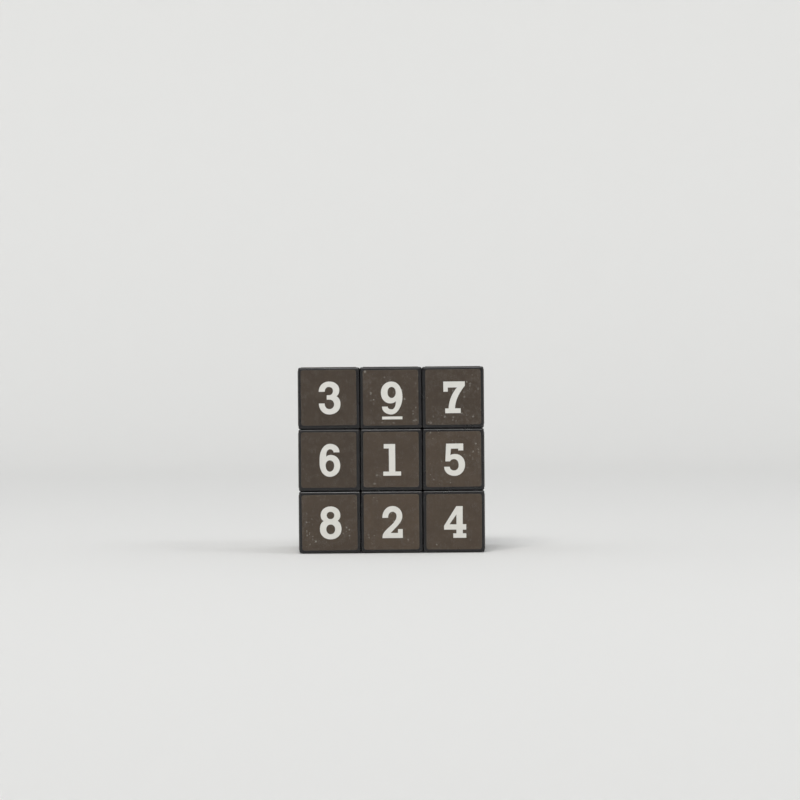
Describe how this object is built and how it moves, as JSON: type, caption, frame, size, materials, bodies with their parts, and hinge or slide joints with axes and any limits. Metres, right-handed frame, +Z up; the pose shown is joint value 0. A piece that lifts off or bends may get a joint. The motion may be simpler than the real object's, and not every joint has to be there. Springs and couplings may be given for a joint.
{
  "type": "sudoku cube",
  "caption": "Turning cube puzzle of black plastic cubies with a dark numbered label on every face; each face layer turns about the sprung core inside.",
  "frame": {"origin": "centre of the cube, where the six turning axes cross", "axes": "+Z up, the front side faces -Y, +X to the right seen from the front"},
  "size_m": [0.053, 0.053, 0.053],
  "materials": {
    "shell_plastic": "black moulded plastic, semi-gloss",
    "inner_plastic": "black moulded plastic, satin",
    "core_plastic": "dark grey moulded plastic, satin",
    "spring_steel": "drawn spring wire",
    "label_film": "dark grey-brown label film, satin",
    "number_print": "off-white print, satin"
  },
  "bodies": {
    "core": {"core_spider": "core_plastic"},
    "centre_up": {"centre_cap_up": "shell_plastic", "centre_hub_up": "inner_plastic", "spring_up": "spring_steel"},
    "centre_down": {"centre_cap_down": "shell_plastic", "centre_hub_down": "inner_plastic", "spring_down": "spring_steel"},
    "centre_front": {"centre_cap_front": "shell_plastic", "centre_hub_front": "inner_plastic", "spring_front": "spring_steel"},
    "centre_back": {"centre_cap_back": "shell_plastic", "centre_hub_back": "inner_plastic", "spring_back": "spring_steel"},
    "centre_left": {"centre_cap_left": "shell_plastic", "centre_hub_left": "inner_plastic", "spring_left": "spring_steel"},
    "centre_right": {"centre_cap_right": "shell_plastic", "centre_hub_right": "inner_plastic", "spring_right": "spring_steel"},
    "edge_up_front": {"edge_shell_up_front": "shell_plastic", "edge_foot_up_front": "inner_plastic"},
    "edge_up_back": {"edge_shell_up_back": "shell_plastic", "edge_foot_up_back": "inner_plastic"},
    "edge_down_front": {"edge_shell_down_front": "shell_plastic", "edge_foot_down_front": "inner_plastic"},
    "edge_down_back": {"edge_shell_down_back": "shell_plastic", "edge_foot_down_back": "inner_plastic"},
    "edge_left_up": {"edge_shell_left_up": "shell_plastic", "edge_foot_left_up": "inner_plastic"},
    "edge_left_down": {"edge_shell_left_down": "shell_plastic", "edge_foot_left_down": "inner_plastic"},
    "edge_right_up": {"edge_shell_right_up": "shell_plastic", "edge_foot_right_up": "inner_plastic"},
    "edge_right_down": {"edge_shell_right_down": "shell_plastic", "edge_foot_right_down": "inner_plastic"},
    "edge_front_left": {"edge_shell_front_left": "shell_plastic", "edge_foot_front_left": "inner_plastic"},
    "edge_front_right": {"edge_shell_front_right": "shell_plastic", "edge_foot_front_right": "inner_plastic"},
    "edge_back_left": {"edge_shell_back_left": "shell_plastic", "edge_foot_back_left": "inner_plastic"},
    "edge_back_right": {"edge_shell_back_right": "shell_plastic", "edge_foot_back_right": "inner_plastic"},
    "corner_up_front_left": {"corner_shell_up_front_left": "shell_plastic", "corner_foot_up_front_left": "inner_plastic"},
    "corner_up_front_right": {"corner_shell_up_front_right": "shell_plastic", "corner_foot_up_front_right": "inner_plastic"},
    "corner_up_back_left": {"corner_shell_up_back_left": "shell_plastic", "corner_foot_up_back_left": "inner_plastic"},
    "corner_up_back_right": {"corner_shell_up_back_right": "shell_plastic", "corner_foot_up_back_right": "inner_plastic"},
    "corner_down_front_left": {"corner_shell_down_front_left": "shell_plastic", "corner_foot_down_front_left": "inner_plastic"},
    "corner_down_front_right": {"corner_shell_down_front_right": "shell_plastic", "corner_foot_down_front_right": "inner_plastic"},
    "corner_down_back_left": {"corner_shell_down_back_left": "shell_plastic", "corner_foot_down_back_left": "inner_plastic"},
    "corner_down_back_right": {"corner_shell_down_back_right": "shell_plastic", "corner_foot_down_back_right": "inner_plastic"}
  },
  "joints": [
    {"name": "turn_up", "type": "hinge", "parent": "core", "child": "centre_up", "pos_m": [0, 0, 0], "axis": [0, 0, 1], "continuous": true},
    {"name": "turn_down", "type": "hinge", "parent": "core", "child": "centre_down", "pos_m": [0, 0, 0], "axis": [0, 0, 1], "continuous": true},
    {"name": "turn_front", "type": "hinge", "parent": "core", "child": "centre_front", "pos_m": [0, 0, 0], "axis": [0, 1, 0], "continuous": true},
    {"name": "turn_back", "type": "hinge", "parent": "core", "child": "centre_back", "pos_m": [0, 0, 0], "axis": [0, 1, 0], "continuous": true},
    {"name": "turn_left", "type": "hinge", "parent": "core", "child": "centre_left", "pos_m": [0, 0, 0], "axis": [1, 0, 0], "continuous": true},
    {"name": "turn_right", "type": "hinge", "parent": "core", "child": "centre_right", "pos_m": [0, 0, 0], "axis": [1, 0, 0], "continuous": true},
    {"name": "edge_up_front_about_front", "type": "hinge", "parent": "centre_up", "child": "edge_up_front", "pos_m": [0, 0, 0], "axis": [0, 1, 0], "continuous": true},
    {"name": "edge_up_back_about_back", "type": "hinge", "parent": "centre_up", "child": "edge_up_back", "pos_m": [0, 0, 0], "axis": [0, 1, 0], "continuous": true},
    {"name": "edge_down_front_about_front", "type": "hinge", "parent": "centre_down", "child": "edge_down_front", "pos_m": [0, 0, 0], "axis": [0, 1, 0], "continuous": true},
    {"name": "edge_down_back_about_back", "type": "hinge", "parent": "centre_down", "child": "edge_down_back", "pos_m": [0, 0, 0], "axis": [0, 1, 0], "continuous": true},
    {"name": "edge_left_up_about_up", "type": "hinge", "parent": "centre_left", "child": "edge_left_up", "pos_m": [0, 0, 0], "axis": [0, 0, 1], "continuous": true},
    {"name": "edge_left_down_about_down", "type": "hinge", "parent": "centre_left", "child": "edge_left_down", "pos_m": [0, 0, 0], "axis": [0, 0, 1], "continuous": true},
    {"name": "edge_right_up_about_up", "type": "hinge", "parent": "centre_right", "child": "edge_right_up", "pos_m": [0, 0, 0], "axis": [0, 0, 1], "continuous": true},
    {"name": "edge_right_down_about_down", "type": "hinge", "parent": "centre_right", "child": "edge_right_down", "pos_m": [0, 0, 0], "axis": [0, 0, 1], "continuous": true},
    {"name": "edge_front_left_about_left", "type": "hinge", "parent": "centre_front", "child": "edge_front_left", "pos_m": [0, 0, 0], "axis": [1, 0, 0], "continuous": true},
    {"name": "edge_front_right_about_right", "type": "hinge", "parent": "centre_front", "child": "edge_front_right", "pos_m": [0, 0, 0], "axis": [1, 0, 0], "continuous": true},
    {"name": "edge_back_left_about_left", "type": "hinge", "parent": "centre_back", "child": "edge_back_left", "pos_m": [0, 0, 0], "axis": [1, 0, 0], "continuous": true},
    {"name": "edge_back_right_about_right", "type": "hinge", "parent": "centre_back", "child": "edge_back_right", "pos_m": [0, 0, 0], "axis": [1, 0, 0], "continuous": true},
    {"name": "corner_up_front_left_about_left", "type": "hinge", "parent": "edge_up_front", "child": "corner_up_front_left", "pos_m": [0, 0, 0], "axis": [1, 0, 0], "continuous": true},
    {"name": "corner_up_front_right_about_right", "type": "hinge", "parent": "edge_up_front", "child": "corner_up_front_right", "pos_m": [0, 0, 0], "axis": [1, 0, 0], "continuous": true},
    {"name": "corner_up_back_left_about_left", "type": "hinge", "parent": "edge_up_back", "child": "corner_up_back_left", "pos_m": [0, 0, 0], "axis": [1, 0, 0], "continuous": true},
    {"name": "corner_up_back_right_about_right", "type": "hinge", "parent": "edge_up_back", "child": "corner_up_back_right", "pos_m": [0, 0, 0], "axis": [1, 0, 0], "continuous": true},
    {"name": "corner_down_front_left_about_left", "type": "hinge", "parent": "edge_down_front", "child": "corner_down_front_left", "pos_m": [0, 0, 0], "axis": [1, 0, 0], "continuous": true},
    {"name": "corner_down_front_right_about_right", "type": "hinge", "parent": "edge_down_front", "child": "corner_down_front_right", "pos_m": [0, 0, 0], "axis": [1, 0, 0], "continuous": true},
    {"name": "corner_down_back_left_about_left", "type": "hinge", "parent": "edge_down_back", "child": "corner_down_back_left", "pos_m": [0, 0, 0], "axis": [1, 0, 0], "continuous": true},
    {"name": "corner_down_back_right_about_right", "type": "hinge", "parent": "edge_down_back", "child": "corner_down_back_right", "pos_m": [0, 0, 0], "axis": [1, 0, 0], "continuous": true}
  ],
  "couplings": [
    {"joint": "edge_up_front_about_front", "follows": "turn_front", "ratio": 1},
    {"joint": "edge_up_back_about_back", "follows": "turn_back", "ratio": 1},
    {"joint": "edge_down_front_about_front", "follows": "turn_front", "ratio": 1},
    {"joint": "edge_down_back_about_back", "follows": "turn_back", "ratio": 1},
    {"joint": "edge_left_up_about_up", "follows": "turn_up", "ratio": 1},
    {"joint": "edge_left_down_about_down", "follows": "turn_down", "ratio": 1},
    {"joint": "edge_right_up_about_up", "follows": "turn_up", "ratio": 1},
    {"joint": "edge_right_down_about_down", "follows": "turn_down", "ratio": 1},
    {"joint": "edge_front_left_about_left", "follows": "turn_left", "ratio": 1},
    {"joint": "edge_front_right_about_right", "follows": "turn_right", "ratio": 1},
    {"joint": "edge_back_left_about_left", "follows": "turn_left", "ratio": 1},
    {"joint": "edge_back_right_about_right", "follows": "turn_right", "ratio": 1},
    {"joint": "corner_up_front_left_about_left", "follows": "turn_left", "ratio": 1},
    {"joint": "corner_up_front_right_about_right", "follows": "turn_right", "ratio": 1},
    {"joint": "corner_up_back_left_about_left", "follows": "turn_left", "ratio": 1},
    {"joint": "corner_up_back_right_about_right", "follows": "turn_right", "ratio": 1},
    {"joint": "corner_down_front_left_about_left", "follows": "turn_left", "ratio": 1},
    {"joint": "corner_down_front_right_about_right", "follows": "turn_right", "ratio": 1},
    {"joint": "corner_down_back_left_about_left", "follows": "turn_left", "ratio": 1},
    {"joint": "corner_down_back_right_about_right", "follows": "turn_right", "ratio": 1}
  ]
}
